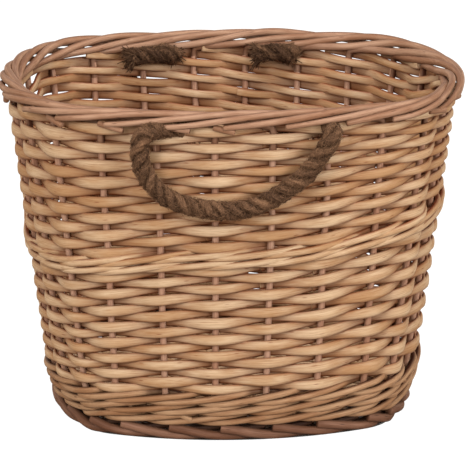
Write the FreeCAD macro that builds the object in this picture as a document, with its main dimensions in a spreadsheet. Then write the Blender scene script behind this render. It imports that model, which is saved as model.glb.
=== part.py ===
"""Wicker log basket: a tapered oval willow basket with two rope handles.

Millimetres, +Z up, X along the long side. The origin is on the floor under
the middle of the basket, and the front handle is on the -Y side.

The plan of the basket is one oval of eight tangent arcs. Every level of the
wall is that oval, moved in by the lean, so offsets of it stay true ovals.
"""
import FreeCAD
import Part
import Sketcher
import math
import os

SIZES = [
    ("rim_half_length", 236, "stake line to the middle at rim level, along X"),
    ("rim_half_width", 204, "stake line to the middle at rim level, along Y"),
    ("corner_radius", 100, "plan radius of the corners at rim level"),
    ("corner_centre_x", 115, "centre of a corner arc"),
    ("corner_centre_y", 80, "centre of a corner arc"),
    ("rim_level", 358, "level that the oval is measured at, inside the border"),
    ("lean", 45, "how far the wall comes in from rim level to the floor"),
    ("total_height", 370, "floor to the top of the border"),
    ("border_bottom", 352.5, "underside of the border"),
    ("border_inside", 10, "border, in from the stake line"),
    ("border_outside", 16, "border, out from the stake line"),
    ("border_bevel", 5.5, "how far the border's edges are rounded off"),
    ("upper_weave_top", 352.2, "top row of the siding"),
    ("upper_weave_bottom", 218, "foot of the upper siding"),
    ("middle_wale_bottom", 200, "foot of the three-rod band half way up"),
    ("lower_weave_bottom", 56, "foot of the lower siding"),
    ("upsett_bottom", 20, "foot of the waling that starts the wall"),
    ("joint_gap", 0.1, "gap between two bands of weave"),
    ("weave_half_thickness", 8, "stake line to the face of the weave"),
    ("foot_height", 19.8, "thickness of the foot border"),
    ("foot_inside", 9, "foot border, in from the stake line"),
    ("foot_outside", 13, "foot border, out from the stake line"),
    ("foot_bevel", 6, "how far the foot border's upper edge is rounded off"),
    ("floor_bottom", 24, "underside of the woven floor"),
    ("floor_thickness", 11, "thickness of the woven floor"),
    ("floor_gap", 0.3, "gap from the woven floor to the wall"),
    ("stick_count", 9, "sticks that the floor is woven on"),
    ("stick_diameter", 7, "sticks that the floor is woven on"),
    ("stake_count", 24, "uprights of the wall"),
    ("stake_diameter", 7.6, "uprights of the wall"),
    ("stake_bottom", 21, "lower end of a stake"),
    ("stake_top", 362, "upper end of the straight part of a stake"),
    ("channel_gap", 0.1, "gap round a stake in its channel"),
    ("rope_diameter", 19, "three-strand rope of the handles"),
    ("rope_level", 342.5, "middle of the rope where it goes through the wall"),
    ("rope_outset", 19, "middle of the rope from the stake line"),
    ("left_end_start", -116, "outer end of the fixed rope beside the left arm, along X"),
    ("left_hole", -60, "where the left rope end goes through the wall"),
    ("left_end_tip", -116, "tip of the left rope end inside the basket"),
    ("right_arm", 81, "top of the handle's right arm, along X"),
    ("right_end_start", 97, "outer end of the fixed rope beside the right arm"),
    ("right_hole", 72, "where the right rope end goes through the wall"),
    ("right_end_tip", 28, "tip of the right rope end inside the basket"),
    ("rope_slot_width", 31, "hole in the top rows for a rope end"),
    ("rope_slot_depth", 21, "hole in the top rows for a rope end"),
]

# The rope of a handle hangs in a flat, uneven loop, a little to the left of
# the basket's middle. Points in mm: along X, and down from its hinge line.
HANDLE_ROUTE = [
    (-107, -12.5), (-105.5, -28), (-97, -45), (-83, -60), (-62, -70), (-35, -76),
    (-8, -77), (14, -72), (38, -59), (59, -44), (72, -29), (81, -15),
]

doc = FreeCAD.newDocument("log_basket")


def make_sheet():
    sheet = doc.addObject("Spreadsheet::Sheet", "sizes")
    for row, (alias, value, note) in enumerate(SIZES, start=1):
        sheet.set("A%d" % row, str(value))
        sheet.setAlias("A%d" % row, alias)
        sheet.set("B%d" % row, note)
    doc.recompute()
    return sheet


sizes = make_sheet()
value = {alias: float(sizes.get(alias)) for alias, _, _ in SIZES}
parts = {}


def keep(name, thing):
    thing.Label = name
    parts[name] = thing
    return thing


# ---------------------------------------------------------------- the oval

def side_radius(half, centre_along, centre_across, corner):
    """Radius of the arc that closes a side, tangent to both its corners."""
    gap = half - centre_across
    return (centre_along ** 2 + gap ** 2 - corner ** 2) / (2 * (gap - corner))


FRONT_RADIUS = side_radius(value["rim_half_width"], value["corner_centre_x"],
                           value["corner_centre_y"], value["corner_radius"])
END_RADIUS = side_radius(value["rim_half_length"], value["corner_centre_y"],
                         value["corner_centre_x"], value["corner_radius"])


def oval_arcs(offset):
    """The eight arcs (centre x, centre y, radius, from, to) of the oval,
    anticlockwise from the end arc at +X, moved out by offset."""
    front_y = value["rim_half_width"] - FRONT_RADIUS
    end_x = value["rim_half_length"] - END_RADIUS
    corner_x = value["corner_centre_x"]
    corner_y = value["corner_centre_y"]
    low = math.atan2(corner_y, corner_x - end_x)
    high = math.atan2(corner_y - front_y, corner_x)
    corner = value["corner_radius"] + offset
    arcs = []
    for quarter in range(4):
        turn = quarter * math.pi / 2
        sign_x = 1 if quarter in (0, 3) else -1
        sign_y = 1 if quarter in (0, 1) else -1
        if quarter % 2 == 0:
            arcs.append((sign_x * end_x, 0, END_RADIUS + offset, turn - low, turn + low))
            arcs.append((sign_x * corner_x, sign_y * corner_y, corner, turn + low, turn + high))
        else:
            half = math.pi / 2 - high
            arcs.append((0, -sign_x * front_y, FRONT_RADIUS + offset, turn - half, turn + half))
            arcs.append((sign_x * corner_x, sign_y * corner_y, corner,
                         turn + half, turn + math.pi / 2 - low))
    return arcs


def oval_point(distance, offset):
    """Point and outward direction, at a distance along the rim oval from the
    middle of the front, on the oval moved out by offset."""
    arcs = oval_arcs(0)
    lengths = [arc[2] * (arc[4] - arc[3]) for arc in arcs]
    start_of_front = sum(lengths[:6]) + lengths[6] / 2
    distance = (distance + start_of_front) % sum(lengths)
    for (x, y, radius, begin, _), length in zip(arcs, lengths):
        if distance <= length:
            angle = begin + distance / radius
            outward = FreeCAD.Vector(math.cos(angle), math.sin(angle), 0)
            centre = FreeCAD.Vector(x, y, 0)
            return centre + outward * (radius + offset), outward
        distance -= length
    raise ValueError("distance outside the oval")


def oval_length():
    return sum(arc[2] * (arc[4] - arc[3]) for arc in oval_arcs(0))


def lean_at(level):
    return -value["lean"] * (1 - level / value["rim_level"])


# ------------------------------------------------------- sketches of the oval

def lean_expression(level):
    return "- sizes.lean * (1 - (%s) / sizes.rim_level)" % level


def side_radius_expression(half, along, across):
    gap = "(sizes.%s - sizes.%s)" % (half, across)
    return ("((sizes.%s ^ 2 + %s ^ 2 - sizes.corner_radius ^ 2) / (2 * (%s - sizes.corner_radius)))"
            % (along, gap, gap))


def oval_sketch(body, name, level, offset):
    """A closed sketch of the oval at a level. level and offset are
    expressions of sheet cells: the height, and how far out from the stake
    line at that height the outline is."""
    move = "%s %s" % (offset, lean_expression(level))
    radii = [
        side_radius_expression("rim_half_length", "corner_centre_y", "corner_centre_x"),
        "sizes.corner_radius",
        side_radius_expression("rim_half_width", "corner_centre_x", "corner_centre_y"),
        "sizes.corner_radius",
    ]
    sketch = body.newObject("Sketcher::SketchObject", name)
    plane = [f for f in body.Origin.OriginFeatures if f.Role == "XY_Plane"][0]
    sketch.AttachmentSupport = (plane, [""])
    sketch.MapMode = "FlatFace"
    sketch.setExpression("AttachmentOffset.Base.z", level)
    arcs = oval_arcs(-value["lean"] / 2)
    normal = FreeCAD.Vector(0, 0, 1)
    for x, y, radius, begin, end in arcs:
        circle = Part.Circle(FreeCAD.Vector(x, y, 0), normal, radius)
        sketch.addGeometry(Part.ArcOfCircle(circle, begin, end), False)
    count = len(arcs)
    for index in range(count):
        sketch.addConstraint(Sketcher.Constraint("Tangent", index, 2, (index + 1) % count, 1))
    for index, (x, y, radius, _, _) in enumerate(arcs):
        label = "radius_%d" % index
        place = sketch.addConstraint(Sketcher.Constraint("Radius", index, radius))
        sketch.renameConstraint(place, label)
        sketch.setExpression("Constraints." + label, radii[index % 4] + " + " + move)
        if index % 2 == 1:
            for axis, cell, size in (("DistanceX", "corner_centre_x", x),
                                     ("DistanceY", "corner_centre_y", y)):
                label = "%s_%d" % (axis, index)
                place = sketch.addConstraint(Sketcher.Constraint(axis, -1, 1, index, 3, size))
                sketch.renameConstraint(place, label)
                sign = "" if size > 0 else "-"
                sketch.setExpression("Constraints." + label, sign + "sizes." + cell)
    return sketch


def lofted_ring(name, rings):
    """A ring of the wall that leans with it. rings lists, from the bottom up,
    expressions of the level and of the reach inside and outside the stake
    line there."""
    body = doc.addObject("PartDesign::Body", name)
    for kind, sign, column in (("AdditiveLoft", "", 2), ("SubtractiveLoft", "-", 1)):
        sketches = []
        for index, ring in enumerate(rings):
            sketch_name = "%s_%s_%d" % (name, kind, index)
            sketches.append(oval_sketch(body, sketch_name, ring[0], sign + "(" + ring[column] + ")"))
        loft = body.newObject("PartDesign::" + kind, "%s_%s" % (name, kind))
        loft.Profile = sketches[0]
        loft.Sections = sketches[1:]
        loft.Ruled = True
    doc.recompute()
    return body


def cut_from(name, base, tools):
    """Cut channels and slots out of a piece, and keep the result."""
    last = base
    for index, tool in enumerate(tools, start=1):
        cut = doc.addObject("Part::Cut", "%s_cut_%d" % (name, index))
        cut.Base = last
        cut.Tool = tool
        last = cut
    return keep(name, last)


# ------------------------------------------------------------------- stakes

def stake_ends(index):
    """Lower and upper end of a stake's middle line. The stakes stand half a
    pitch each side of the middle of the front."""
    distance = (index + 0.5) * oval_length() / value["stake_count"]
    ends = []
    for level in (value["stake_bottom"], value["stake_top"]):
        point, _ = oval_point(distance, lean_at(level))
        point.z = level
        ends.append(point)
    return ends


def stake_cylinder(name, index, radius):
    low, high = stake_ends(index)
    along = high - low
    rod = doc.addObject("Part::Cylinder", name)
    rod.setExpression("Radius", radius)
    rod.Height = along.Length
    rod.Placement = FreeCAD.Placement(low, FreeCAD.Rotation(FreeCAD.Vector(0, 0, 1), along))
    return rod


def make_stakes():
    channels = []
    for index in range(int(value["stake_count"])):
        name = "stake_%02d" % (index + 1)
        keep(name, stake_cylinder(name, index, "sizes.stake_diameter / 2"))
        channels.append(stake_cylinder(name + "_channel", index,
                                       "sizes.stake_diameter / 2 + sizes.channel_gap"))
    group = doc.addObject("Part::Compound", "stake_channels")
    group.Links = channels
    return group


# -------------------------------------------------------------------- ropes

def tube(name, points, diameter):
    """A round rope along straight runs joined by tangent arcs, each as large
    as its two runs allow."""
    share = 0.45
    points = [FreeCAD.Vector(*p) for p in points]
    edges = []
    start = points[0]
    radii = []
    for before, corner, after in zip(points, points[1:], points[2:]):
        back = (before - corner).normalize()
        forward = (after - corner).normalize()
        turn = math.pi - back.getAngle(forward)
        reach = share * min((before - corner).Length, (after - corner).Length)
        radius = reach / math.tan(turn / 2)
        radii.append(round(radius, 1))
        leave = corner + back * reach
        join = corner + forward * reach
        inward = (back + forward).normalize()
        middle = corner + inward * (radius / math.cos(turn / 2) - radius)
        edges.append(Part.LineSegment(start, leave).toShape())
        edges.append(Part.Arc(leave, middle, join).toShape())
        start = join
    edges.append(Part.LineSegment(start, points[-1]).toShape())
    path = Part.Wire(edges)
    section = Part.Wire(Part.makeCircle(diameter / 2, points[0], points[1] - points[0]))
    solid = path.makePipeShell([section], True, False)
    expected = math.pi * diameter ** 2 / 4 * path.Length
    print("%s: length %.1f, radii %s, volume against section x length %.4f"
          % (name, path.Length, radii, solid.Volume / expected))
    if abs(solid.Volume / expected - 1) > 0.01:
        raise RuntimeError(name + " has the wrong volume")
    feature = doc.addObject("Part::Feature", name)
    feature.Shape = solid
    return keep(name, feature)


def front_point(x, offset, level):
    """Point on the front of the basket, a distance out from the stake line."""
    radius = FRONT_RADIUS + lean_at(level) + offset
    centre_y = FRONT_RADIUS - value["rim_half_width"]
    return FreeCAD.Vector(x, centre_y - math.sqrt(radius ** 2 - x ** 2), level)


def mirrored(points, side):
    """The same points on the front (1) or, mirrored across X, the back (-1)."""
    return [(p[0], side * p[1], p[2]) for p in points]


def rope_end_route(hand, hinge_y):
    """Route of the fixed rope end at the "left" or "right" of a handle: from
    the handle's arm along the outside under the border, in through the wall
    beside a stake, and along the inside."""
    level = value["rope_level"]
    out = value["rope_outset"]
    hole = value[hand + "_hole"]
    return [
        (value[hand + "_end_start"], hinge_y, level),
        front_point(hole, out, level),
        front_point(hole, -out, level),
        front_point(value[hand + "_end_tip"], -out, level),
    ]


def make_handles():
    diameter = value["rope_diameter"]
    level = value["rope_level"]
    hinge = front_point(value["right_arm"], value["rope_outset"], level)
    print("hinge line: y %.3f, z %.3f" % (hinge.y, hinge.z))
    loop = [(x, hinge.y, level + drop) for x, drop in HANDLE_ROUTE]
    for side, word in ((1, "front"), (-1, "back")):
        tube(word + "_handle", mirrored(loop, side), diameter)
        for hand in ("left", "right"):
            route = mirrored(rope_end_route(hand, hinge.y), side)
            tube("%s_handle_%s_end" % (word, hand), route, diameter)


def rope_slots():
    """Boxes that open the top rows of the weave where a rope goes through."""
    slots = []
    places = ((1, "left"), (1, "right"), (-1, "left"), (-1, "right"))
    for index, (side, hand) in enumerate(places, start=1):
        middle = front_point(value[hand + "_hole"], 0, value["rope_level"])
        box = doc.addObject("Part::Box", "rope_slot_%d" % index)
        box.setExpression("Length", "sizes.rope_slot_width")
        box.setExpression("Width", "6 * sizes.weave_half_thickness")
        box.setExpression("Height", "2 * sizes.rope_slot_depth")
        corner = FreeCAD.Vector(-value["rope_slot_width"] / 2,
                                -3 * value["weave_half_thickness"],
                                value["upper_weave_top"] - value["rope_slot_depth"])
        lateral = math.degrees(math.atan2(middle.x, -(middle.y - FRONT_RADIUS
                                                      + value["rim_half_width"])))
        turn = FreeCAD.Rotation(FreeCAD.Vector(0, 0, 1), side * lateral)
        base = FreeCAD.Vector(middle.x, side * middle.y, 0)
        box.Placement = FreeCAD.Placement(base + turn.multVec(corner), turn)
        slots.append(box)
    group = doc.addObject("Part::Compound", "rope_slots")
    group.Links = slots
    return group


# ----------------------------------------------------------- wall and floor

def make_wall(channels, slots):
    half = "sizes.weave_half_thickness"
    levels = ["upsett_bottom", "lower_weave_bottom", "middle_wale_bottom",
              "upper_weave_bottom", "upper_weave_top"]
    names = ["upsett_waling", "lower_siding", "middle_waling", "upper_siding"]
    for name, low, high in zip(names, levels, levels[1:]):
        gap = "" if name == "upper_siding" else " - sizes.joint_gap"
        ring = lofted_ring(name + "_ring", [("sizes." + low, half, half),
                                            ("sizes." + high + gap, half, half)])
        tools = [channels, slots] if name == "upper_siding" else [channels]
        cut_from(name, ring, tools)


def make_border(channels):
    inside, outside, bevel = "sizes.border_inside", "sizes.border_outside", " - sizes.border_bevel"
    ring = lofted_ring("border_ring", [
        ("sizes.border_bottom", inside + bevel, outside + bevel),
        ("sizes.border_bottom + sizes.border_bevel", inside, outside),
        ("sizes.total_height - sizes.border_bevel", inside, outside),
        ("sizes.total_height", inside + bevel, outside + bevel),
    ])
    cut_from("border", ring, [channels])


def make_foot():
    inside, outside = "sizes.foot_inside", "sizes.foot_outside"
    ring = lofted_ring("foot_border_ring", [
        ("0 * sizes.foot_height", inside, outside),
        ("sizes.foot_height - sizes.foot_bevel", inside, outside),
        ("sizes.foot_height", inside, outside + " - sizes.foot_bevel"),
    ])
    keep("foot_border", ring)


def make_floor():
    """The woven floor and the sticks that it is woven on, side to side."""
    inside = "- sizes.weave_half_thickness - sizes.floor_gap"
    plate = doc.addObject("PartDesign::Body", "floor_plate")
    outline = oval_sketch(plate, "floor_outline", "sizes.floor_bottom", inside)
    pad = plate.newObject("PartDesign::Pad", "floor_pad")
    pad.Profile = outline
    pad.setExpression("Length", "sizes.floor_thickness")
    doc.recompute()
    level = value["floor_bottom"] + value["floor_thickness"] / 2
    reach = lean_at(level) - value["weave_half_thickness"]
    half_length = value["rim_half_length"] + reach
    half_width = value["rim_half_width"] + reach
    count = int(value["stick_count"])
    sticks, channels = [], []
    for index in range(count):
        x = half_length * (2 * (index + 0.5) / count - 1)
        half = 0.93 * half_width * (1 - abs(x / half_length) ** 2.5) ** 0.4
        for group, gap in ((sticks, ""), (channels, " + sizes.channel_gap")):
            rod = doc.addObject("Part::Cylinder", "floor_rod")
            rod.setExpression("Radius", "sizes.stick_diameter / 2" + gap)
            rod.Height = 2 * half
            turn = FreeCAD.Rotation(FreeCAD.Vector(1, 0, 0), 90)
            rod.Placement = FreeCAD.Placement(FreeCAD.Vector(x, half, level), turn)
            group.append(rod)
    stick_group = doc.addObject("Part::Compound", "stick_group")
    stick_group.Links = sticks
    keep("floor_sticks", stick_group)
    channel_group = doc.addObject("Part::Compound", "stick_channels")
    channel_group.Links = channels
    cut_from("floor_weave", plate, [channel_group])


def write_parts():
    doc.recompute()
    for thing in doc.Objects:
        if "Invalid" in thing.State or "Error" in thing.State:
            raise RuntimeError("%s failed: %s" % (thing.Name, thing.State))
    for name, thing in parts.items():
        shape = thing.Shape
        if shape.isNull() or not shape.isValid() or not shape.Solids:
            raise RuntimeError(name + " has no valid shape")
    os.makedirs("parts", exist_ok=True)
    for name, thing in parts.items():
        thing.Shape.exportStep("parts/%s.step" % name)
    print("%d parts, stake pitch at the rim %.1f"
          % (len(parts), oval_length() / value["stake_count"]))


stake_channels = make_stakes()
make_wall(stake_channels, rope_slots())
make_border(stake_channels)
make_foot()
make_floor()
make_handles()
write_parts()
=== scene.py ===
"""Looks of the wicker log basket: woven willow rods and twisted rope handles.

Everything is in metres in the frame's own axes. A place on the wall is given
by s, the distance along the rim's oval from the middle of the front, by its
level above the floor, and by out, the distance out from the line of stakes.
"""
import bpy
import math
import numpy as np
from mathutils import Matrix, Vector


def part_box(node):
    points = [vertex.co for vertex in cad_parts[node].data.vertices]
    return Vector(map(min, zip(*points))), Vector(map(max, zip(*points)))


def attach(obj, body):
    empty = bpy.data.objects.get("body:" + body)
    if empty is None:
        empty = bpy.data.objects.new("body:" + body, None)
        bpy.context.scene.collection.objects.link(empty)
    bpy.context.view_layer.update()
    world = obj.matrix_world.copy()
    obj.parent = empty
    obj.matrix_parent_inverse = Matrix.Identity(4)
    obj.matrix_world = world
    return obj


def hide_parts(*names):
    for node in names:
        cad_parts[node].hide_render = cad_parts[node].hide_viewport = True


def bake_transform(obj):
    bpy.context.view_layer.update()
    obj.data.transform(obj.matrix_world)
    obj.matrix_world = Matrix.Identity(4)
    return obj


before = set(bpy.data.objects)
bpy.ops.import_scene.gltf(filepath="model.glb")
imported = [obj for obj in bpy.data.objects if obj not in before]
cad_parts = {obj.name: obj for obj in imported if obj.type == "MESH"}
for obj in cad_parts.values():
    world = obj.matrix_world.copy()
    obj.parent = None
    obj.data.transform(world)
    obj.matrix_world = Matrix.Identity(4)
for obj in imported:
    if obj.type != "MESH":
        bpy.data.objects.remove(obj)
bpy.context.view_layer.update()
MM = 0.001

# ------------------------------------------------------- the wall's own shape

WEAVE_HALF = 8 * MM             # stake line to the face of the CAD weave
RIM_LEVEL = 358 * MM            # middle of the rolled border
CORNER_RADIUS = 100 * MM        # of the oval at rim level
CORNER_CENTRE = (115 * MM, 80 * MM)
STAKES = 24
TUCK = 6.5 * MM                 # how far the wall turns in at its foot
TUCK_TOP = 75 * MM              # level that it starts to turn in from
TUCK_HEIGHT = 55 * MM           # height that it turns in over
FIRST_ROW = 24 * MM             # level that the rows start to run off the true
FRONT_CLIMB = 0.045             # rise of a front row for each metre to the right
CORNER_CLIMB = 0.10             # the further rise past the middle of the front
CORNER_FROM = 70 * MM           # where that starts, out from the middle
BACK_FALL = 0.13                # fall of a back row for each metre to the right
SIDE_FROM = -20 * MM            # Y where the rows start to turn from front to back
SIDE_LENGTH = 150 * MM          # and how far that takes

UPPER_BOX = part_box("upper_siding")
LOWER_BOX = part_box("lower_siding")
LEAN = (UPPER_BOX[1][0] - LOWER_BOX[1][0]) / (UPPER_BOX[1][2] - LOWER_BOX[1][2])


def rim_half(axis):
    """Half length of the stake line at rim level, along X (0) or Y (1)."""
    return UPPER_BOX[1][axis] - WEAVE_HALF + LEAN * (RIM_LEVEL - UPPER_BOX[1][2])


def side_radius(half, along, across):
    """Radius of the arc that closes a side, tangent to both its corners."""
    gap = half - across
    return (along ** 2 + gap ** 2 - CORNER_RADIUS ** 2) / (2 * (gap - CORNER_RADIUS))


def oval_arcs():
    """Centre, radius and first and last angle of the oval's eight arcs."""
    corner_x, corner_y = CORNER_CENTRE
    end_radius = side_radius(rim_half(0), corner_y, corner_x)
    front_radius = side_radius(rim_half(1), corner_x, corner_y)
    end_x = rim_half(0) - end_radius
    front_y = rim_half(1) - front_radius
    low = math.atan2(corner_y, corner_x - end_x)
    high = math.pi / 2 - math.atan2(corner_y - front_y, corner_x)
    arcs = []
    for quarter, (sign_x, sign_y) in enumerate(((1, 1), (-1, 1), (-1, -1), (1, -1))):
        turn = quarter * math.pi / 2
        half, after = (low, high) if quarter % 2 == 0 else (high, low)
        if quarter % 2 == 0:
            arcs.append((sign_x * end_x, 0, end_radius, turn - half, turn + half))
        else:
            arcs.append((0, -sign_x * front_y, front_radius, turn - half, turn + half))
        arcs.append((sign_x * corner_x, sign_y * corner_y, CORNER_RADIUS,
                     turn + half, turn + math.pi / 2 - after))
    return np.array(arcs)


ARCS = oval_arcs()
ARC_LENGTH = ARCS[:, 2] * (ARCS[:, 4] - ARCS[:, 3])
ARC_START = np.concatenate([[0], np.cumsum(ARC_LENGTH)[:-1]])
ROUND = ARC_LENGTH.sum()
FRONT = ARC_START[6] + ARC_LENGTH[6] / 2
PITCH = ROUND / STAKES


def wall(s, level, out):
    """Points on the wall, and the direction straight out of it there."""
    s, level, out = np.broadcast_arrays(np.asarray(s, float), level, out)
    place = (s + FRONT) % ROUND
    arc = np.searchsorted(ARC_START, place, side="right") - 1
    angle = ARCS[arc, 3] + (place - ARC_START[arc]) / ARCS[arc, 2]
    outward = np.stack([np.cos(angle), np.sin(angle), np.zeros_like(angle)], axis=1)
    tuck = TUCK * np.clip((TUCK_TOP - level) / TUCK_HEIGHT, 0, 1) ** 2
    reach = ARCS[arc, 2] + out + LEAN * (level - RIM_LEVEL) - tuck
    point = outward * reach[:, None]
    point[:, :2] += ARCS[arc, :2]
    point[:, 2] = level
    return point, outward


def row_shift(point, level):
    """How far above the true a row of weave runs, at points of the wall."""
    x, y = point[:, 0], point[:, 1]
    height = np.clip((level - FIRST_ROW) / (RIM_LEVEL - FIRST_ROW), 0, 1)
    corner = np.sign(x) * np.maximum(np.abs(x) - CORNER_FROM, 0)
    front = (FRONT_CLIMB * x + CORNER_CLIMB * corner) * np.sin(math.pi * height)
    back = -BACK_FALL * x * np.sin(math.pi * np.minimum(height, 0.5))
    share = np.clip((y - SIDE_FROM) / SIDE_LENGTH, 0, 1)
    share = share * share * (3 - 2 * share)
    return front * (1 - share) + back * share


def uneven(s, level):
    """Level of a row of weave where the maker let it run off the true, and how
    much further apart that sets the rows. The rows climb to the right on the
    front, most at the corners, and fall to the right on the back."""
    point, _ = wall(s, level, 0)
    shift = row_shift(point, level)
    stretch = (row_shift(point, level + 4 * MM) - row_shift(point, level - 4 * MM)) / (8 * MM)
    return level + shift, np.clip(1 + stretch, 0.7, 1.3)


def stake_place(u):
    """Distance along the oval of stake number u, which may be a fraction."""
    return (np.asarray(u) + 0.5) * PITCH


# ------------------------------------------------------------- rods as meshes

class Bundle:
    """Rods that are gathered into one mesh."""

    def __init__(self):
        self.points, self.faces = [], []
        self.grain, self.tint, self.painted_shade = [], [], []
        self.count = 0

    def add(self, points, faces, grain, tint, painted_shade):
        self.points.append(points)
        self.faces += [tuple(i + self.count for i in face) for face in faces]
        self.grain.append(grain)
        self.tint.append(np.full(len(points), tint))
        self.painted_shade.append(painted_shade)
        self.count += len(points)

    def make(self, name, body, material, *nodes):
        mesh = bpy.data.meshes.new(name)
        mesh.from_pydata(np.concatenate(self.points).tolist(), [], self.faces)
        mesh.validate()
        # The last of these holds painted shade, which the materials mix in as darker colour.
        for label, kind, values in (("grain", "FLOAT_VECTOR", self.grain),
                                    ("tint", "FLOAT", self.tint),
                                    ("painted_shade", "FLOAT", self.painted_shade)):
            layer = mesh.attributes.new(label, kind, "POINT")
            field = "vector" if kind == "FLOAT_VECTOR" else "value"
            layer.data.foreach_set(field, np.concatenate(values).ravel())
        mesh.shade_smooth()
        piece = bpy.data.objects.new(name, mesh)
        bpy.context.scene.collection.objects.link(piece)
        mesh.materials.append(material)
        if body:
            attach(piece, body)
        if nodes:
            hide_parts(*nodes)
        return piece


def smooth_noise(rng, places, step, size):
    """Random values that drift smoothly along a rod."""
    places = (places - places.min()) / step
    knots = rng.normal(0, size, int(places.max()) + 4)
    index = places.astype(int)
    blend = places - index
    blend = blend * blend * (3 - 2 * blend)
    return knots[index] * (1 - blend) + knots[index + 1] * blend


def unit(vectors):
    return vectors / np.linalg.norm(vectors, axis=1)[:, None]


def distance_along(line):
    """Distance of each point from the first one, along a line of points."""
    return np.concatenate([[0], np.cumsum(np.linalg.norm(np.diff(line, axis=0), axis=1))])


def tube_faces(rows, sides):
    """Faces of a closed tube: rings of points, then a point for each end."""
    faces = []
    for row in range(rows - 1):
        for j in range(sides):
            k = (j + 1) % sides
            faces.append((row * sides + j, row * sides + k,
                          (row + 1) * sides + k, (row + 1) * sides + j))
    first, last = rows * sides, rows * sides + 1
    for j in range(sides):
        k = (j + 1) % sides
        faces.append((first, k, j))
        faces.append((last, (rows - 1) * sides + j, (rows - 1) * sides + k))
    return faces


BEVEL = 0.7 * MM                # length of the worn edge at a rod's cut ends
TUCKED_SHADE = 0.62              # painted shade on a rod where it is tucked in behind its neighbours


def rod(bundle, rng, centre, outward, high, thick, sides=14, squareness=2.5, crease_size=0.0,
        hidden=0.0, cut=0.7, both_faces=False):
    """Add a rod along centre. high and thick are its half sizes across and
    along outward, crease_size how much shade is painted on its edges, and
    hidden how far it is tucked in behind its neighbours, from 0 to 1, where
    shade is painted too. cut is the size of its cut ends, as a share of
    the rod. With both_faces, a rod that is hidden from outside is in view
    from inside, and the other way."""
    tangent = unit(np.gradient(centre, axis=0))
    across = unit(outward - tangent * np.sum(outward * tangent, axis=1)[:, None])
    up = np.cross(tangent, across)
    along = distance_along(centre)
    high = np.broadcast_to(high, along.shape) * (1 + smooth_noise(rng, along, 0.03, 0.03))
    thick = np.broadcast_to(thick, along.shape) * (1 + smooth_noise(rng, along, 0.03, 0.03))
    centre = np.concatenate([[centre[0] - tangent[0] * BEVEL], centre,
                             [centre[-1] + tangent[-1] * BEVEL]])
    across = np.concatenate([across[:1], across, across[-1:]])
    up = np.concatenate([up[:1], up, up[-1:]])
    along = np.concatenate([[along[0] - BEVEL], along, [along[-1] + BEVEL]])
    high = np.concatenate([[high[0] * cut], high, [high[-1] * cut]])
    thick = np.concatenate([[thick[0] * cut], thick, [thick[-1] * cut]])
    # The cut ends get a little painted shade too.
    crease_size = np.broadcast_to(crease_size, (len(along) - 2,))
    crease_size = np.concatenate([[0.2], crease_size, [0.2]])
    hidden = np.broadcast_to(hidden, (len(along) - 2,))
    hidden = np.concatenate([[0.2], hidden, [0.2]])

    angle = np.linspace(0, 2 * math.pi, sides, endpoint=False)
    power = 2 / squareness
    side = np.sign(np.cos(angle)) * np.abs(np.cos(angle)) ** power
    rise = np.sign(np.sin(angle)) * np.abs(np.sin(angle)) ** power
    offset = (side[None, :, None] * (across * thick[:, None])[:, None, :]
              + rise[None, :, None] * (up * high[:, None])[:, None, :])
    points = (centre[:, None, :] + offset).reshape(-1, 3)
    points = np.concatenate([points, centre[:1], centre[-1:]])

    start = rng.uniform(0, 50)
    grain = np.stack([
        np.repeat(along + start, sides),
        (side[None, :] * thick[:, None]).ravel(),
        (rise[None, :] * high[:, None]).ravel()], axis=1)
    grain = np.concatenate([grain, [[along[0] + start, 0, 0], [along[-1] + start, 0, 0]]])
    # Painted shade: dark top and bottom edges, darker still where the rod is tucked in.
    painted_shade = np.abs(rise)[None, :] ** 4 * crease_size[:, None]
    if both_faces:
        hidden = np.where(side[None, :] > 0, hidden[:, None], 1 - hidden[:, None])
    else:
        hidden = hidden[:, None]
    painted_shade = painted_shade + TUCKED_SHADE * np.clip(hidden, 0, 1) ** 1.5
    painted_shade = np.concatenate([np.clip(painted_shade, 0, 1).ravel(), [0.1, 0.1]])
    bundle.add(points, tube_faces(len(along), sides), grain, rng.normal(0, 1), painted_shade)


def through(points, samples):
    """Points along a smooth curve through the given ones (Catmull-Rom)."""
    points = np.asarray(points, float)
    padded = np.concatenate([[2 * points[0] - points[1]], points, [2 * points[-1] - points[-2]]])
    step = np.linspace(0, len(points) - 1, samples)
    index = np.minimum(step.astype(int), len(points) - 2)
    x = (step - index)[:, None]
    a, b, c, d = (padded[index + n] for n in range(4))
    return 0.5 * (2 * b + (c - a) * x + (2 * a - 5 * b + 4 * c - d) * x ** 2
                  + (3 * b - a - 3 * c + d) * x ** 3)


def cycle(places, values):
    """Smooth closed curve through values given at even steps of one cycle."""
    values = np.asarray(values, float)
    count = len(values)
    step = np.asarray(places) * count
    index = np.floor(step).astype(int)
    x = step - index
    a, b, c, d = (values[(index + n) % count] for n in (-1, 0, 1, 2))
    return 0.5 * (2 * b + (c - a) * x + (2 * a - 5 * b + 4 * c - d) * x ** 2
                  + (3 * b - a - 3 * c + d) * x ** 3)


# ------------------------------------------------------------------ materials

def srgb(red, green, blue):
    """A colour as a screen shows it, 0 to 255, in Blender's linear values."""
    return tuple((c / 255 / 12.92) if c <= 10 else ((c / 255 + 0.055) / 1.055) ** 2.4
                 for c in (red, green, blue)) + (1,)


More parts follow.
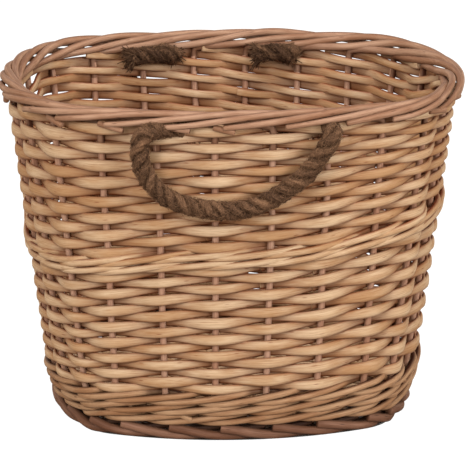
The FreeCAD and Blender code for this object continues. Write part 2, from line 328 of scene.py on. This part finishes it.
class Nodes:
    """Short forms for building a material's nodes."""

    def __init__(self, name):
        self.material = bpy.data.materials.new(name)
        self.material.use_nodes = True
        self.tree = self.material.node_tree
        self.shader = self.tree.nodes["Principled BSDF"]

    def new(self, kind, **settings):
        node = self.tree.nodes.new(kind)
        for name, value in settings.items():
            setattr(node, name, value)
        return node

    def link(self, source, target):
        self.tree.links.new(source, target)

    def attribute(self, name, output="Fac"):
        return self.new("ShaderNodeAttribute", attribute_name=name).outputs[output]

    def scaled(self, vector, scale):
        node = self.new("ShaderNodeMapping")
        node.inputs["Scale"].default_value = scale
        self.link(vector, node.inputs["Vector"])
        return node.outputs[0]

    def noise(self, vector, scale=1.0, detail=3.0, roughness=0.5, distortion=0.0):
        node = self.new("ShaderNodeTexNoise")
        node.inputs["Scale"].default_value = scale
        node.inputs["Detail"].default_value = detail
        node.inputs["Roughness"].default_value = roughness
        node.inputs["Distortion"].default_value = distortion
        self.link(vector, node.inputs["Vector"])
        return node.outputs["Fac"]

    def spread(self, value, low, high, to_low=0.0, to_high=1.0):
        node = self.new("ShaderNodeMapRange")
        for name, number in (("From Min", low), ("From Max", high),
                             ("To Min", to_low), ("To Max", to_high)):
            node.inputs[name].default_value = number
        self.link(value, node.inputs["Value"])
        return node.outputs[0]

    def math(self, operation, first, second):
        node = self.new("ShaderNodeMath", operation=operation)
        for socket, value in zip(node.inputs, (first, second)):
            if isinstance(value, (int, float)):
                socket.default_value = value
            else:
                self.link(value, socket)
        return node.outputs[0]

    def mix(self, amount, first, second, blend="MIX"):
        node = self.new("ShaderNodeMix", data_type="RGBA", blend_type=blend)
        for socket, value in ((node.inputs["Factor"], amount), (node.inputs[6], first),
                              (node.inputs[7], second)):
            if isinstance(value, (int, float, tuple)):
                socket.default_value = value
            else:
                self.link(value, socket)
        return node.outputs[2]

    def bump(self, height, strength, distance):
        node = self.new("ShaderNodeBump")
        node.inputs["Strength"].default_value = strength
        node.inputs["Distance"].default_value = distance
        self.link(height, node.inputs["Height"])
        self.link(node.outputs[0], self.shader.inputs["Normal"])


def willow(name, pale, warm, deep, mark_and_shade, roughness=0.62):
    """Peeled willow: long streaks, blotches and bud marks, with painted shade on the creases and
    where a rod is tucked in.
    """
    n = Nodes(name)
    grain = n.attribute("grain", "Vector")
    blotch = n.noise(n.scaled(grain, (22, 90, 90)), 1.0, 3, 0.55)
    streak = n.noise(n.scaled(grain, (45, 1500, 1500)), 1.0, 4, 0.6)
    fine = n.noise(n.scaled(grain, (140, 3200, 3200)), 1.0, 2, 0.6)
    tint = n.spread(n.attribute("tint"), -2.2, 2.2, -0.5, 0.5)
    share = n.math("ADD", n.spread(blotch, 0.34, 0.66), tint)
    colour = n.mix(share, pale, warm)
    colour = n.mix(n.spread(streak, 0.46, 0.72, 0.0, 0.7), colour, deep)
    marks = n.new("ShaderNodeTexVoronoi")
    n.link(n.scaled(grain, (30, 190, 190)), marks.inputs["Vector"])
    marks.inputs["Scale"].default_value = 1.0
    spot = n.spread(marks.outputs["Distance"], 0.04, 0.12, 0.75, 0.0)
    colour = n.mix(spot, colour, mark_and_shade)
    # Painted shade: rods darken toward the bud marks' colour along their edges and where they are
    # tucked in.
    colour = n.mix(n.spread(n.attribute("painted_shade"), 0.0, 1.0), colour, mark_and_shade)
    n.link(colour, n.shader.inputs["Base Color"])
    n.link(n.spread(streak, 0.3, 0.7, roughness - 0.1, roughness + 0.12),
           n.shader.inputs["Roughness"])
    n.shader.inputs["Specular IOR Level"].default_value = 0.25
    n.bump(n.math("ADD", n.math("MULTIPLY", streak, 0.7), n.math("MULTIPLY", fine, 0.3)),
           0.45, 0.4 * MM)
    return n.material


def rope_fibre(name, dark, light):
    n = Nodes(name)
    grain = n.attribute("grain", "Vector")
    fine = n.noise(n.scaled(grain, (900, 2200, 2200)), 1.0, 4, 0.7)
    broad = n.noise(n.scaled(grain, (60, 120, 120)), 1.0, 3, 0.5)
    tint = n.spread(n.attribute("tint"), -2.0, 2.0, -0.35, 0.35)
    share = n.math("ADD", n.math("ADD", n.spread(fine, 0.35, 0.68), tint),
                   n.spread(broad, 0.3, 0.7, -0.2, 0.2))
    colour = n.mix(share, dark, light)
    # Painted shade: the grooves between the strands darken toward the dark colour.
    colour = n.mix(n.attribute("painted_shade"), colour, dark)
    n.link(colour, n.shader.inputs["Base Color"])
    n.shader.inputs["Roughness"].default_value = 0.9
    n.shader.inputs["Specular IOR Level"].default_value = 0.15
    n.bump(fine, 0.8, 0.6 * MM)
    return n.material


# The last colour of each willow is for its bud marks and for the shade painted on its creases and
# tucked-in parts.
WEAVER_WILLOW = willow("weaver willow", srgb(203, 174, 139), srgb(176, 136, 96),
                       srgb(140, 92, 50), srgb(108, 44, 4))
# The upsett's willow is a darker copy of the weavers' willow: painted shade for the low part of
# the wall.
LOW_SHADED_WILLOW = willow("low waling shaded willow", srgb(176, 139, 104), srgb(148, 106, 71),
                    srgb(112, 68, 36), srgb(60, 22, 2))
STAKE_WILLOW = willow("stake willow", srgb(182, 143, 118), srgb(163, 119, 93),
                      srgb(116, 72, 48), srgb(84, 36, 8))
# The border is the stakes' willow made darker: painted shade, to hold down the light on its top.
BORDER_SHADED_WILLOW = willow("border shaded willow", srgb(168, 132, 106), srgb(140, 100, 73),
                       srgb(110, 68, 42), srgb(66, 26, 6))
# The foot rods' willow: a greyer brown of their own, and darker still as painted shade for the
# foot's low place.
FOOT_GREY_SHADED_WILLOW = willow("foot grey shaded willow", srgb(136, 98, 76), srgb(104, 67, 46),
                     srgb(72, 42, 26), srgb(38, 16, 6))
# The rope's dark colour is for its dark yarns and for the shade painted in its grooves.
ROPE = rope_fibre("hemp rope", srgb(34, 17, 7), srgb(144, 107, 78))

# --------------------------------------------------------------------- weave

STAKE_RADIUS = 3.5 * MM
STEPS = 16                      # samples of a rod from one stake to the next
TOP_ROW = 350.5 * MM            # no row of weave runs above this level
WEAVER_THICK = 2.5 * MM         # half thickness of a weaver, out from the wall
BITE = 0.4 * MM                 # how far a weaver presses into a stake


def runs(inside):
    """First and last index of each run of True that is worth a rod."""
    edges = np.flatnonzero(np.diff(np.concatenate([[0], inside.astype(int), [0]])))
    return [(first, last) for first, last in edges.reshape(-1, 2) if last - first > STEPS]


def siding(name, node, count, high, seed, more=0):
    """Rows of single weavers, each over one stake and behind the next. Where
    the rows run down off the true, more short rows fill in under the border."""
    rng = np.random.default_rng(seed)
    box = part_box(node)
    bundle = Bundle()
    step = (box[1][2] - box[0][2]) / count
    for row in range(count + more):
        begin = 2 * rng.integers(0, STAKES // 2) + row % 2
        if row > count - 5:
            begin = row % 2     # at the front, so what is left at the back is one rod
        u = begin + np.linspace(-0.16, STAKES + 0.16, STAKES * STEPS + 6)
        turn = math.pi * (u - begin)
        size = rng.uniform(0.94, 1.06) * (1.04 - 0.08 * (u - begin) / STAKES)
        thick = WEAVER_THICK * size
        sway = STAKE_RADIUS + thick - BITE
        out = -sway * (0.96 * np.cos(turn) + 0.04 * np.cos(3 * turn))
        out = out - 2.5 * MM * np.clip((u - begin - STAKES + 0.7) / 0.7, 0, 1)
        s = stake_place(u)
        level = box[0][2] + (row + 0.5) * step + smooth_noise(rng, s, 0.08, 0.5 * MM)
        over = 0.5 - 0.5 * np.cos(turn)
        squeeze = 0.74 + 0.28 * over ** 1.3
        level, stretch = uneven(s, level)
        centre, outward = wall(s, level, out)
        squeeze = squeeze * (1 + 0.15 * np.clip(centre[:, 1] / (100 * MM), 0, 1))
        half = high * size * squeeze * stretch
        for first, last in runs(level < TOP_ROW):
            part = slice(first, last)
            # Painted shade on the weavers where they pass behind a stake, and on their edges.
            rod(bundle, rng, centre[part], outward[part], half[part], thick[part],
                squareness=2.5, crease_size=(0.6 + 0.4 * (1 - over))[part],
                hidden=(1 - over)[part], both_faces=True)
    bundle.make(name, "basket", WEAVER_WILLOW, node)


# One cycle of a waling rod is three stakes: outside two of them, then behind
# one. Values at each quarter stake, from the first of the two.
WALE_OUT = (1.0, 1.12, 1.2, 1.2, 1.1, 0.9, 0.3, -0.5, -1.0, -0.9, -0.3, 0.5)
WALE_RISE = (-1.0, -0.8, -0.4, 0.0, 0.4, 0.75, 1.0, 1.1, 1.0, 0.3, -0.6, -0.95)


def waling(name, node, material, rows, high, thick, rise, tips, seed):
    """Rows of three rods that wind round each other past the stakes, and tips
    of rods that stick out between them."""
    rng = np.random.default_rng(seed)
    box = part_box(node)
    bundle = Bundle()
    step = (box[1][2] - box[0][2]) / rows
    for row in range(rows):
        for strand in range(3):
            begin = 2 + strand + row + 3 * rng.integers(0, 8)
            u = begin + np.linspace(-0.14, STAKES + 0.14, STAKES * STEPS + 6)
            part = ((u - row - strand) / 3) % 1
            size = rng.uniform(0.92, 1.08)
            out = cycle(part, WALE_OUT) * (STAKE_RADIUS + thick)
            s = stake_place(u)
            level = (box[0][2] + (row + 0.5) * step + cycle(part, WALE_RISE) * rise
                     + smooth_noise(rng, s, 0.07, 0.5 * MM))
            centre, outward = wall(s, uneven(s, level)[0], out)
            # Painted shade on the rods where they pass behind a stake, and on their edges.
            rod(bundle, rng, centre, outward, high * size, thick * size, sides=12,
                squareness=2.2, crease_size=0.95, hidden=np.clip(0.5 - out / thick, 0, 1),
                both_faces=True)
    for _ in range(tips):
        u = rng.uniform(0, STAKES) + np.linspace(0, 0.42, 12)
        part = np.linspace(0, 1, 12)
        s = stake_place(u)
        level = box[0][2] + rng.uniform(0, rows) * step + (0.4 - part) * 9 * MM
        centre, outward = wall(s, uneven(s, level)[0], (4 + 5 * part) * MM)
        # Painted shade on the edges of the tips.
        rod(bundle, rng, centre, outward, 2.9 * MM, 2.9 * MM, sides=10, squareness=2,
            crease_size=0.2, cut=0.85)
    bundle.make(name, "basket", material, node)


def stakes():
    """The upright rods, each up to where the border rod starts."""
    rng = np.random.default_rng(5)
    for index in range(STAKES):
        node = "stake_%02d" % (index + 1)
        level = np.linspace(21 * MM, RIM_LEVEL - 18 * MM, 60)
        s = stake_place(index) + smooth_noise(rng, level, 0.06, 0.7 * MM)
        centre, outward = wall(s, level, smooth_noise(rng, level, 0.06, 0.2 * MM))
        bundle = Bundle()
        # A little painted shade on the edges of the stakes.
        rod(bundle, rng, centre, outward, STAKE_RADIUS, STAKE_RADIUS, sides=12, squareness=2,
            crease_size=0.15)
        bundle.make("stake_%02d_rod" % (index + 1), "basket", STAKE_WILLOW, node)


# The way of a border rod after it leaves its stake: stakes passed, out from
# the stake line, and above the middle of the border (mm).
BORDER_WAY = [
    (0.00, 0.0, -38), (0.00, 0.0, -25), (0.00, -0.4, -16), (0.05, -2.0, -11.0),
    (0.22, -3.8, -9.0), (0.55, -5.6, -7.6), (1.00, -6.6, -5.0), (1.5, -5.0, -0.9),
    (2.0, -2.0, 2.6), (2.5, 1.8, 4.5), (3.0, 5.9, 4.1), (3.5, 9.3, 1.6), (4.0, 11.3, -2.0),
    (4.5, 11.4, -6.0), (4.75, 10.6, -8.2),
]
BORDER_MIDDLE = 361 * MM
BORDER_RADIUS = 4.05 * MM


def border():
    """Stake tops rolled over each other, and the cut tips under them."""
    rng = np.random.default_rng(11)
    bundle = Bundle()
    for index in range(STAKES):
        way = np.array(BORDER_WAY)
        way[-1, 0] += rng.uniform(-0.15, 0.2)
        curve = through(way, 130)
        s = stake_place(index - curve[:, 0])
        part = np.clip(curve[:, 0] * 2, 0, 1)
        wander = smooth_noise(rng, curve[:, 0] * PITCH, 0.07, 0.9 * MM) * part
        level = BORDER_MIDDLE + curve[:, 2] * MM + wander
        out = curve[:, 1] * MM + smooth_noise(rng, curve[:, 0] * PITCH, 0.07, 0.7 * MM) * part
        centre, outward = wall(s, level, out)
        thin = np.interp(curve[:, 0], [0, 0.1, 2.5, 4.7], [0.9, 1.02, 1.0, 0.8])
        size = BORDER_RADIUS * thin * rng.uniform(0.90, 1.06)
        # Painted shade on each rod's rise from its stake, under the rolled border, and on its
        # edges.
        rod(bundle, rng, centre, outward, size, size * 0.96, sides=14, squareness=2.1,
            crease_size=0.6, hidden=np.clip(1.1 - curve[:, 0], 0, 1) * 0.7)
    for index in range(STAKES):
        if rng.uniform() < 0.4:
            continue
        part = np.linspace(0, 1, 14)
        u = index + rng.uniform(-0.1, 0.25) + part * rng.uniform(0.25, 0.45)
        level = BORDER_MIDDLE - (8.5 + rng.uniform(2, 6) * part) * MM
        centre, outward = wall(stake_place(u), level, (8.0 + rng.uniform(2.5, 5) * part) * MM)
        # Painted shade on the edges of the cut tips.
        rod(bundle, rng, centre, outward, 3.3 * MM, 3.2 * MM, sides=12, squareness=2.1,
            crease_size=0.2, cut=0.86)
    bundle.make("rolled_border", "basket", BORDER_SHADED_WILLOW, "border")


# The way of a foot rod: stakes passed, out from the stake line, and above the
# floor (mm).
FOOT_WAY = [
    (0.0, 6.0, 14.5), (0.25, 7.0, 12.8), (0.6, 7.2, 9.3), (1.0, 6.0, 6.0), (1.45, 2.0, 5.2),
    (1.9, -3.2, 5.4), (2.3, -4.4, 9), (2.9, -4.2, 14),
]
FOOT_RADIUS = 5.1 * MM


def foot():
    """Thick rods laid round the foot, each with a square-cut butt."""
    rng = np.random.default_rng(23)
    bundle = Bundle()
    for index in range(STAKES):
        curve = through(FOOT_WAY, 76)
        s = stake_place(index + 0.12 + rng.uniform(-0.06, 0.06) + curve[:, 0])
        level = curve[:, 2] * MM
        out = curve[:, 1] * MM
        centre, outward = wall(s, level, out)
        size = FOOT_RADIUS * rng.uniform(0.95, 1.02) * np.interp(curve[:, 0], [0, 2.9], [1, 0.72])
        # Painted shade on the tail of each rod, where it runs in behind the foot.
        rod(bundle, rng, centre, outward, size, size, sides=16, squareness=2.1,
            crease_size=0.3, hidden=np.clip((curve[:, 0] - 1.3) / 0.6, 0, 1) * 1.5, cut=0.88)
    bundle.make("foot_rods", "basket", FOOT_GREY_SHADED_WILLOW, "foot_border")


def floor():
    """The woven floor: sticks across it and weavers along it."""
    rng = np.random.default_rng(31)
    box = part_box("floor_weave")
    sticks_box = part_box("floor_sticks")
    middle = (box[0][2] + box[1][2]) / 2
    half_length, half_width = box[1][0], box[1][1]
    count = 9
    spacing = 2 * half_length / count
    sticks = Bundle()
    for index in range(count):
        x = (index + 0.5) * spacing - half_length
        reach = sticks_box[1][1] * (1 - abs(x / half_length) ** 2.5) ** 0.4
        y = np.linspace(-reach, reach, 40)
        centre = np.stack([np.full(40, x), y, np.full(40, middle)], axis=1)
        rod(sticks, rng, centre, np.tile([0, 0, 1.0], (40, 1)), 3.6 * MM, 3.6 * MM, sides=12,
            squareness=2)
    sticks.make("floor_stick_rods", "basket", STAKE_WILLOW, "floor_sticks")
    weave = Bundle()
    rows = int(2 * half_width / (8.6 * MM))
    for row in range(rows):
        y = (row + 0.5) * 2 * half_width / rows - half_width
        reach = half_length * (1 - abs(y / half_width) ** 2.5) ** 0.4 - 2 * MM
        x = np.arange(-reach, reach, spacing / 14)
        turn = math.pi * (x + half_length) / spacing + math.pi * (row % 2) - math.pi / 2
        level = middle + 5.6 * MM * np.cos(turn)
        centre = np.stack([x, np.full(len(x), y), level], axis=1)
        # Painted shade on the edges of the floor weavers.
        rod(weave, rng, centre, np.tile([0, 0, 1.0], (len(x), 1)),
            4.9 * MM * (0.82 + 0.18 * np.cos(turn) ** 2), 2.6 * MM, sides=10, crease_size=0.4)
    weave.make("floor_weavers", "basket", WEAVER_WILLOW, "floor_weave")


# --------------------------------------------------------------------- ropes

ROPE_DIAMETER = 19 * MM
ROPE_LEVEL = 342.5 * MM
ROPE_OUTSET = 19 * MM
RIGHT_ARM = 81 * MM
# Holes that the rope ends go through, and the tips of the ends inside.
ROPE_ENDS = {"left": (-60 * MM, -116 * MM), "right": (72 * MM, 28 * MM)}
# The hanging loop in mm: along X, and down from its hinge line.
HANDLE_ROUTE = [
    (-107, -12.5), (-105.5, -28), (-97, -45), (-83, -60), (-62, -70), (-35, -76),
    (-8, -77), (14, -72), (38, -59), (59, -44), (72, -29), (81, -15),
]


def front_point(x, out, level):
    """Point on the front, a distance out from the stake line."""
    cx, cy, radius = ARCS[6, :3]
    reach = radius + LEAN * (level - RIM_LEVEL) + out
    return (x, cy - math.sqrt(reach ** 2 - (x - cx) ** 2), level)


def mirrored(points, side):
    """Points of the front (1), or mirrored to the back (-1)."""
    return [(p[0], side * p[1], p[2]) for p in points]


def route_curve(points, spacing):
    """Even points along the NURBS spline of a rope's route."""
    data = bpy.data.curves.new("route", "CURVE")
    data.dimensions = "3D"
    spline = data.splines.new("NURBS")
    spline.points.add(len(points) - 1)
    for place, point in zip(spline.points, points):
        place.co = (*point, 1)
    spline.order_u = 3
    spline.use_endpoint_u = True
    spline.resolution_u = 24
    holder = bpy.data.objects.new("route", data)
    mesh = bpy.data.meshes.new_from_object(holder)
    line = np.array([v.co for v in mesh.vertices])
    bpy.data.objects.remove(holder)
    bpy.data.curves.remove(data)
    bpy.data.meshes.remove(mesh)
    steps = distance_along(line)
    count = int(steps[-1] / spacing) + 1
    even = np.linspace(0, steps[-1], count)
    return np.stack([np.interp(even, steps, line[:, k]) for k in range(3)], axis=1), steps[-1]


def carried_frame(line):
    """Directions across a line that turn as little as they can along it."""
    tangent = unit(np.gradient(line, axis=0))
    first = np.cross(tangent[0], [0, 0, 1.0])
    if np.linalg.norm(first) < 0.1:
        first = np.cross(tangent[0], [0, 1.0, 0])
    across = [first / np.linalg.norm(first)]
    for t in tangent[1:]:
        a = across[-1] - t * np.dot(across[-1], t)
        across.append(a / np.linalg.norm(a))
    across = np.array(across)
    return tangent, across, np.cross(tangent, across)


STRAND_REACH = 5.1 * MM         # rope's middle to a strand's middle
STRAND_RADIUS = 4.6 * MM
LAY = 42 * MM                   # length of one turn of a strand
YARNS = 6                       # yarns that show round a strand
YARN_LAY = 13 * MM              # length of one turn of a yarn
HAIR_RADIUS = 0.3 * MM
ROUTE_SPACING = 1.5 * MM        # between the points of a rope's line


def strands(bundle, rng, line, phase=0.0, ends=(1.0, 1.0), tone=0.0):
    """Three strands laid round a line, light or dark by their tone."""
    tangent, across, up = carried_frame(line)
    along = distance_along(line)
    taper = np.interp(along, [0, 12 * MM, along[-1] - 12 * MM, along[-1]],
                      [ends[0], 1, 1, ends[1]])
    sides = 28
    angle = np.linspace(0, 2 * math.pi, sides, endpoint=False)
    for strand in range(3):
        turn = phase + 2 * math.pi * (strand / 3 + along / LAY)
        reach = STRAND_REACH * taper
        away = across * np.cos(turn)[:, None] + up * np.sin(turn)[:, None]
        middle = line + away * reach[:, None]
        run = unit(np.gradient(middle, axis=0))
        side = unit(away - run * np.sum(away * run, axis=1)[:, None])
        rise = np.cross(run, side)
        yarn = angle[None, :] * YARNS - 2 * math.pi * along[:, None] / YARN_LAY
        lumps = rng.normal(0, 1, (len(line), sides))
        lumps = (lumps + np.roll(lumps, 1, 1) + np.roll(lumps, 1, 0)) / 3
        swell = 1 + smooth_noise(rng, along, 0.012, 0.07)
        size = STRAND_RADIUS * (taper * swell)[:, None] * (
            1 + 0.08 * np.cos(yarn) + 0.17 * lumps)
        offset = (np.cos(angle)[None, :, None] * side[:, None, :]
                  + np.sin(angle)[None, :, None] * rise[:, None, :]) * size[:, :, None]
        points = (middle[:, None, :] + offset).reshape(-1, 3)
        points = np.concatenate([points, middle[:1], middle[-1:]])
        start = rng.uniform(0, 50)
        grain = np.stack([np.repeat(along + start, sides),
                          (np.cos(angle)[None, :] * size).ravel(),
                          (np.sin(angle)[None, :] * size).ravel()], axis=1)
        grain = np.concatenate([grain, [[start, 0, 0], [start + along[-1], 0, 0]]])
        # Painted shade in the grooves: darkest on the side of each strand that faces the rope's
        # middle.
        groove_shade = np.clip(0.5 - 0.8 * np.cos(angle), 0, 1)
        painted_shade = np.broadcast_to(groove_shade, (len(line), sides)).ravel()
        painted_shade = np.concatenate([painted_shade, [0.8, 0.8]])
        bundle.add(points, tube_faces(len(line), sides), grain, rng.normal(tone, 0.7), painted_shade)


def fibres(bundle, rng, line, count, length, tone):
    """Loose hairs that stand off the rope, light or dark by their tone."""
    tangent, across, up = carried_frame(line)
    for _ in range(count):
        i = rng.integers(2, len(line) - 2)
        turn = rng.uniform(0, 2 * math.pi)
        away = across[i] * math.cos(turn) + up[i] * math.sin(turn)
        sideways = np.cross(tangent[i], away)
        run = tangent[i] * rng.normal(0, 0.8) + sideways * rng.normal(0.9, 0.8)
        run /= np.linalg.norm(run)
        size = length * rng.uniform(0.3, 1.2)
        root = line[i] + away * ROPE_DIAMETER / 2 * rng.uniform(0.82, 0.98)
        bend = rng.normal(0, 0.5, 3)
        lift = rng.uniform(0.0, 0.7)
        path = [root + (run * t + away * (lift * t - 0.5 * t * t) + bend * t * t * 0.5) * size
                for t in (0, 0.5, 1.0)]
        points, faces = [], []
        for row, point in enumerate(path):
            thin = HAIR_RADIUS * (1 - 0.35 * row)
            for j in range(3):
                a = 2 * math.pi * j / 3
                points.append(point + (away * math.cos(a) + sideways * math.sin(a)) * thin)
        for row in range(2):
            for j in range(3):
                k = (j + 1) % 3
                faces.append((row * 3 + j, row * 3 + k, row * 3 + 3 + k, row * 3 + 3 + j))
        faces += [(2, 1, 0), (6, 7, 8)]
        points = np.array(points)
        grain = np.tile([[rng.uniform(0, 50), 0, 0]], (len(points), 1))
        bundle.add(points, faces, grain, rng.normal(tone, 1.6), np.zeros(len(points)))


def frayed(bundle, rng, line, count, length):
    """The loose yarns at the tip of a rope end."""
    tangent, across, up = carried_frame(line)
    for _ in range(count):
        turn, reach = rng.uniform(0, 2 * math.pi), math.sqrt(rng.uniform(0, 1))
        away = across[-1] * math.cos(turn) + up[-1] * math.sin(turn)
        run = tangent[-1] + away * reach * 0.8 + rng.normal(0, 0.15, 3)
        size = length * rng.uniform(0.5, 1.1)
        root = line[-1] - tangent[-1] * 4 * MM + away * reach * 7.5 * MM
        step = np.linspace(0, 1, 5)[:, None]
        sag = np.array([0, 0, -0.15]) * step ** 2
        path = root + (run * step + sag + rng.normal(0, 0.25, 3) * step ** 2) * size
        normal = unit(np.tile(np.cross(run, away + 0.01), (5, 1)))
        # Painted shade on the loose yarns.
        rod(bundle, rng, path, normal, 0.5 * MM, 0.5 * MM, sides=5, squareness=2, cut=0.4,
            crease_size=0.5, hidden=0.6)


def handle_end(word, side, rng, hand, hole, tip):
    """The end of a rope inside the wall, from its hole to its frayed tip."""
    toward = 1 if tip > hole else -1
    inner = tip - toward * 13 * MM
    route = [front_point(hole - toward * 6 * MM, -9 * MM, ROPE_LEVEL + 2 * MM),
             front_point(hole - toward * 2 * MM, -18 * MM, ROPE_LEVEL + 4 * MM),
             front_point((hole * 2 + inner) / 3, -22 * MM, ROPE_LEVEL + 6 * MM),
             front_point((hole + inner * 2) / 3, -21 * MM, ROPE_LEVEL + 5 * MM),
             front_point(inner, -20 * MM, ROPE_LEVEL + 3 * MM)]
    line, _ = route_curve(mirrored(route, side), ROUTE_SPACING)
    tail = Bundle()
    # The dark tone of the end and its hairs is painted shade, for the end lies inside the wall
    # under the border.
    strands(tail, rng, line, phase=1.0, ends=(1.25, 1.15), tone=-1.6)
    fibres(tail, rng, line, 2200, 6.5 * MM, -1.4)
    frayed(tail, rng, line, 260, 9 * MM)
    frayed(tail, rng, line[::-1], 160, 8 * MM)
    name = "%s_handle_%s_end" % (word, hand)
    tail.make(name + "_rope", "basket", ROPE, name)


def handle(word, side, seed):
    """A rope handle: its loop, which hangs down from the hinge line, and its ends."""
    rng = np.random.default_rng(seed)
    hinge_y = front_point(RIGHT_ARM, ROPE_OUTSET, ROPE_LEVEL)[1]
    left_hole, right_hole = ROPE_ENDS["left"][0], ROPE_ENDS["right"][0]
    route = [front_point(left_hole + 3 * MM, -14 * MM, ROPE_LEVEL + 2 * MM),
             front_point(left_hole - 2 * MM, -6 * MM, ROPE_LEVEL + 6 * MM),
             front_point(-76 * MM, 5 * MM, ROPE_LEVEL + 8 * MM),
             front_point(-92 * MM, 12 * MM, ROPE_LEVEL + 7 * MM),
             (-106 * MM, hinge_y, ROPE_LEVEL + 3 * MM)]
    route += [(x * MM, hinge_y, ROPE_LEVEL + drop * MM) for x, drop in HANDLE_ROUTE]
    route += [(90 * MM, hinge_y - 1 * MM, ROPE_LEVEL - 1 * MM),
              front_point(90 * MM, 13 * MM, ROPE_LEVEL + 6 * MM),
              front_point(86 * MM, 0, ROPE_LEVEL + 6 * MM),
              front_point(right_hole + 4 * MM, -16 * MM, ROPE_LEVEL + 3 * MM)]
    line, length = route_curve(mirrored(route, side), ROUTE_SPACING)
    loop = Bundle()
    strands(loop, rng, line)
    piece = loop.make(word + "_handle_rope", None, ROPE, word + "_handle")
    hairs = Bundle()
    fibres(hairs, rng, line, 10000, 6.5 * MM, 1.2)
    hairs = hairs.make(word + "_handle_hairs", None, ROPE)
    for thing in (piece, hairs):
        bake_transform(thing)
    for hand, (hole, tip) in ROPE_ENDS.items():
        handle_end(word, side, rng, hand, hole, tip)


# ------------------------------------------------------------ make everything

stakes()
siding("upper_siding_rods", "upper_siding", 15, 5.55 * MM, 41, more=4)
waling("middle_waling_rods", "middle_waling", WEAVER_WILLOW, 2, 3.9 * MM, 3.2 * MM, 2.4 * MM,
       1, 42)
siding("lower_siding_rods", "lower_siding", 15, 5.75 * MM, 43)
waling("upsett_waling_rods", "upsett_waling", LOW_SHADED_WILLOW, 3, 3.7 * MM, 3.4 * MM, 4.8 * MM, 6, 48)
border()
foot()
floor()
handle("front", 1, 51)
handle("back", -1, 52)

# ------------------------------------------------------ camera, floor, lights

PICTURE_WIDTH = 470             # pixels


def look_from(azimuth, elevation, distance, focal_pixels, target):
    """Set up the camera, with its focal length in pixels of the picture."""
    back = np.array([math.sin(azimuth) * math.cos(elevation),
                     -math.cos(azimuth) * math.cos(elevation), math.sin(elevation)])
    data = bpy.data.cameras.new("camera")
    data.sensor_width = 36
    data.lens = focal_pixels / PICTURE_WIDTH * data.sensor_width
    data.clip_end = 20
    camera = bpy.data.objects.new("camera", data)
    bpy.context.scene.collection.objects.link(camera)
    camera.location = np.array(target) + back * distance
    camera.rotation_euler = (math.pi / 2 - elevation, 0, azimuth)
    bpy.context.scene.camera = camera
    return camera


camera = look_from(math.radians(-3.7), math.radians(15.2), 3.39, 3105, (0, 0, 0.185))
camera.data.shift_x = 0.008
camera.data.shift_y = -0.005


def soft_light(name, place, target, size, power):
    """A round soft light, a little cool, that points at the target."""
    data = bpy.data.lights.new(name, "AREA")
    data.shape = "DISK"
    data.size = size
    data.energy = power
    data.color = (0.97, 1.0, 1.07)
    light = bpy.data.objects.new(name, data)
    bpy.context.scene.collection.objects.link(light)
    light.location = place
    direction = Vector(target) - Vector(place)
    light.rotation_euler = direction.to_track_quat("-Z", "Y").to_euler()


soft_light("key", (-1.5, -2.6, 1.6), (0, 0, 0.24), 1.0, 42)
soft_light("fill", (1.9, -2.4, 1.2), (0, 0, 0.26), 1.2, 41)
soft_light("top", (0.1, -0.6, 2.4), (0, 0.15, 0.3), 0.9, 28)

world = bpy.data.worlds.new("studio")
bpy.context.scene.world = world
world.use_nodes = True
world.node_tree.nodes["Background"].inputs["Color"].default_value = (1, 0.91, 0.80, 1)
world.node_tree.nodes["Background"].inputs["Strength"].default_value = 1.0
bpy.context.scene.view_settings.view_transform = "Standard"


def backdrop(name, points, faces, colour, glow):
    """A piece of the studio, dull or glowing white."""
    mesh = bpy.data.meshes.new(name)
    mesh.from_pydata(points, [], faces)
    piece = bpy.data.objects.new(name, mesh)
    bpy.context.scene.collection.objects.link(piece)
    paint = Nodes(name)
    paint.shader.inputs["Base Color"].default_value = colour
    paint.shader.inputs["Roughness"].default_value = 0.9
    paint.shader.inputs["Emission Color"].default_value = (1, 1, 1, 1)
    paint.shader.inputs["Emission Strength"].default_value = glow
    mesh.materials.append(paint.material)
    return piece


def only_seen(piece):
    """Show a backdrop to the camera alone, so that it lights nothing."""
    piece.visible_diffuse = piece.visible_glossy = False
    piece.visible_shadow = piece.visible_transmission = False


# The dark floor lights the basket from under it. The camera sees white in its
# place, from the edge of the foot outward, and a white dome behind everything.
FLOOR_HALF = 6                  # metres, as are the next two
WHITE_REACH = 8
DOME_RADIUS = 12
GLOW = 1.05
BLACK = (0, 0, 0, 1)
AROUND = 96                     # points round the basket's edge of the white
SPOKES, RINGS = 32, 17          # of the dome

floor_corners = [(x * FLOOR_HALF, y * FLOOR_HALF, -0.5 * MM)
                 for x, y in ((-1, -1), (1, -1), (1, 1), (-1, 1))]
backdrop("studio_floor", floor_corners, [(0, 1, 2, 3)], (0.30, 0.27, 0.25, 1), 0)

inner, _ = wall(np.linspace(0, ROUND, AROUND, endpoint=False), 0.0, 4 * MM)
outer = inner / np.linalg.norm(inner[:, :2], axis=1)[:, None] * WHITE_REACH
only_seen(backdrop("studio_white", np.concatenate([inner, outer]).tolist(),
                   [(i, AROUND + i, AROUND + (i + 1) % AROUND, (i + 1) % AROUND)
                    for i in range(AROUND)], BLACK, GLOW))

dome = [(DOME_RADIUS * math.cos(a) * math.cos(b), DOME_RADIUS * math.sin(a) * math.cos(b),
         DOME_RADIUS * math.sin(b))
        for b in np.linspace(-math.pi / 2, math.pi / 2, RINGS)
        for a in np.linspace(0, 2 * math.pi, SPOKES, endpoint=False)]
dome_faces = [(SPOKES * j + i, SPOKES * j + (i + 1) % SPOKES,
               SPOKES * (j + 1) + (i + 1) % SPOKES, SPOKES * (j + 1) + i)
              for j in range(RINGS - 1) for i in range(SPOKES)]
only_seen(backdrop("studio_dome", dome, dome_faces, BLACK, GLOW))
